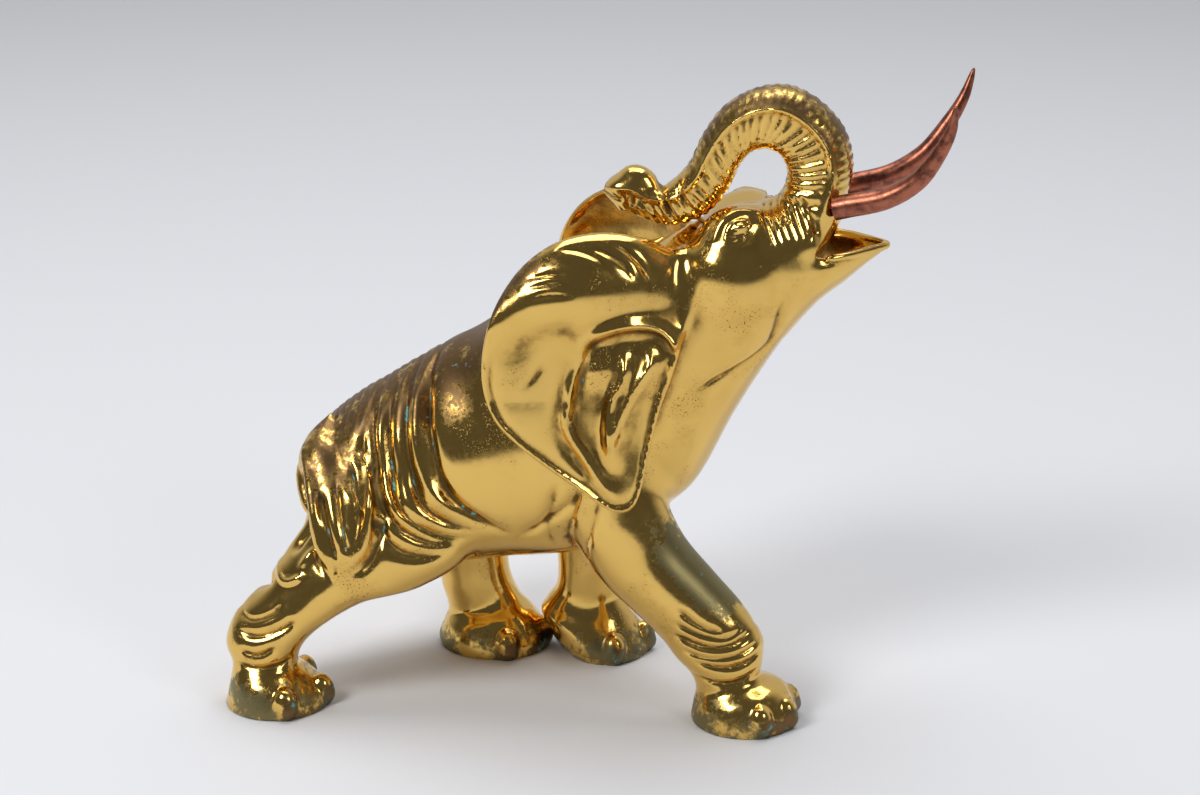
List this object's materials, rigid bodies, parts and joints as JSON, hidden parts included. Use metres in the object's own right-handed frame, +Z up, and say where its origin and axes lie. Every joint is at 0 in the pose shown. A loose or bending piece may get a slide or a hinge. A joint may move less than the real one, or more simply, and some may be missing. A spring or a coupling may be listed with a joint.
{
  "type": "bronze elephant sculpture",
  "caption": "Striding cast elephant with raised head, trunk curled back over the brow, spread ears and inset copper tusks; stands on its own feet.",
  "frame": {"origin": "on the surface it stands on, under the centre of the whole figure", "axes": "+X the way the elephant faces, +Y its left side, +Z up"},
  "size_m": [0.3625, 0.1535, 0.3181],
  "materials": {
    "bronze": "polished yellow bronze with brown and green patina in the folds and on the back",
    "copper": null
  },
  "bodies": {
    "root": {"elephant_casting": "bronze", "tusk_right": "copper", "tusk_left": "copper"}
  },
  "joints": []
}
